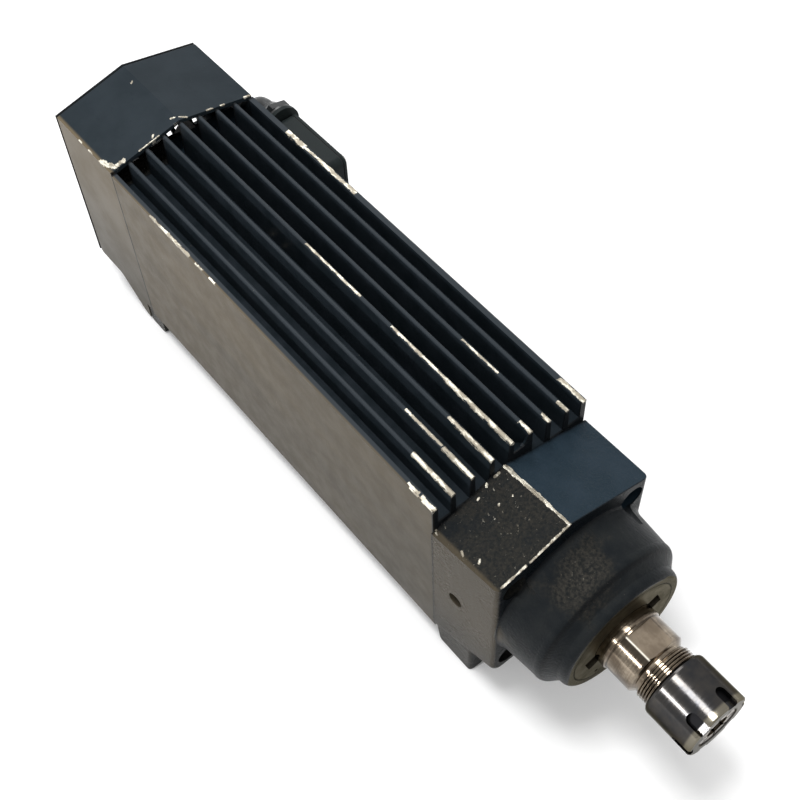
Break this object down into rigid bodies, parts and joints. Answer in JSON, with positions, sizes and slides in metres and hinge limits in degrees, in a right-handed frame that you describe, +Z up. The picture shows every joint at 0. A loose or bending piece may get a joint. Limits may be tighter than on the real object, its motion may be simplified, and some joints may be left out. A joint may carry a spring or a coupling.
{
  "type": "motor spindle",
  "caption": "Rectangular finned high-frequency motor spindle with a rear fan cover, side terminal box, round bearing nose and an ER collet with clamping nut.",
  "frame": {"origin": "on the base plane, under the spindle axis, at the middle of the front foot", "axes": "+X along the spindle axis towards the collet nose, +Z up to the cooling fins, +Y to the terminal box"},
  "size_m": [0.3762, 0.0931, 0.1141],
  "materials": {
    "housing_paint": "dark blue-grey paint on the extruded body, chipped on the fin crests",
    "cast_paint": "dark blue-grey paint over rough cast metal, chipped on edges",
    "cover_paint": "dark blue-grey paint on smooth cast cover",
    "box_paint": "dark grey paint",
    "machined_steel": "fine turned steel, slightly stained",
    "shaft_steel": "ground and polished steel",
    "blued_steel": "dark blued and oiled steel",
    "collet_steel": "hardened, ground steel",
    "clip_steel": "spring steel",
    "bearing_steel": "polished bearing steel",
    "bearing_balls_steel": "mirror-finished balls",
    "cage_resin": "brown fabric resin",
    "lamination_steel": "stacked electrical steel",
    "winding_copper": "varnished copper wire bundles",
    "rotor_aluminium": "cast aluminium end rings",
    "balance_steel": "turned steel",
    "screw_steel": "black oxide screws",
    "zinc_steel": "zinc-plated screws",
    "spring_steel": "blued spring steel",
    "seal_rubber": "black rubber",
    "boot_rubber": "dark grey rubber",
    "gland_plastic": "dark grey nylon",
    "fan_plastic": "black glass-filled nylon",
    "block_plastic": "dark thermoset",
    "stud_brass": "brass studs"
  },
  "bodies": {
    "motor_body": {"motor_housing": "housing_paint", "front_housing": "cast_paint", "bearing_ring_nut": "machined_steel", "front_seal": "seal_rubber", "front_housing_screws": "screw_steel", "front_bearing_outer_rings": "bearing_steel", "rear_bearing_outer_ring": "bearing_steel", "preload_spring": "spring_steel", "rear_shield": "cast_paint", "rear_shield_screws": "screw_steel", "fan_cover": "cover_paint", "fan_cover_screws": "zinc_steel", "stator_core": "lamination_steel", "front_winding": "winding_copper", "rear_winding": "winding_copper", "terminal_box": "box_paint", "terminal_gasket": "seal_rubber", "terminal_lid": "box_paint", "terminal_lid_screws": "zinc_steel", "terminal_block": "block_plastic", "terminal_studs": "stud_brass", "cable_gland": "gland_plastic", "gland_seal": "seal_rubber", "gland_nut": "gland_plastic", "gland_boot": "boot_rubber"},
    "spindle": {"spindle_shaft": "shaft_steel", "rotor_core": "lamination_steel", "rotor_end_rings": "rotor_aluminium", "balance_ring": "balance_steel", "shaft_lock_nut": "balance_steel", "cooling_fan": "fan_plastic", "fan_clip": "spring_steel", "front_bearing_inner_rings": "bearing_steel", "rear_bearing_inner_ring": "bearing_steel"},
    "front_ball_sets": {"front_bearing_balls": "bearing_balls_steel", "front_bearing_cages": "cage_resin"},
    "rear_ball_set": {"rear_bearing_balls": "bearing_balls_steel", "rear_bearing_cage": "cage_resin"},
    "collet": {"collet": "collet_steel"},
    "collet_nut": {"collet_nut": "blued_steel", "nut_clip_ring": "clip_steel"}
  },
  "joints": [
    {"name": "spindle_spin", "type": "hinge", "parent": "motor_body", "child": "spindle", "pos_m": [0, 0, 0.06], "axis": [1, 0, 0], "continuous": true},
    {"name": "front_balls_roll", "type": "hinge", "parent": "motor_body", "child": "front_ball_sets", "pos_m": [0.0328, 0, 0.06], "axis": [1, 0, 0], "continuous": true},
    {"name": "rear_balls_roll", "type": "hinge", "parent": "motor_body", "child": "rear_ball_set", "pos_m": [-0.2336, 0, 0.06], "axis": [1, 0, 0], "continuous": true},
    {"name": "collet_travel", "type": "slide", "parent": "spindle", "child": "collet", "axis": [1, 0, 0], "range_m": [0, 0.006]},
    {"name": "collet_nut_turn", "type": "hinge", "parent": "collet", "child": "collet_nut", "pos_m": [0.089, 0, 0.06], "axis": [1, 0, 0], "range_deg": [0, 1440]}
  ],
  "couplings": [
    {"joint": "front_balls_roll", "follows": "spindle_spin", "ratio": 0.38806},
    {"joint": "rear_balls_roll", "follows": "spindle_spin", "ratio": 0.38246},
    {"joint": "collet_travel", "follows": "collet_nut_turn", "m_per_rad": 0.00023873}
  ]
}
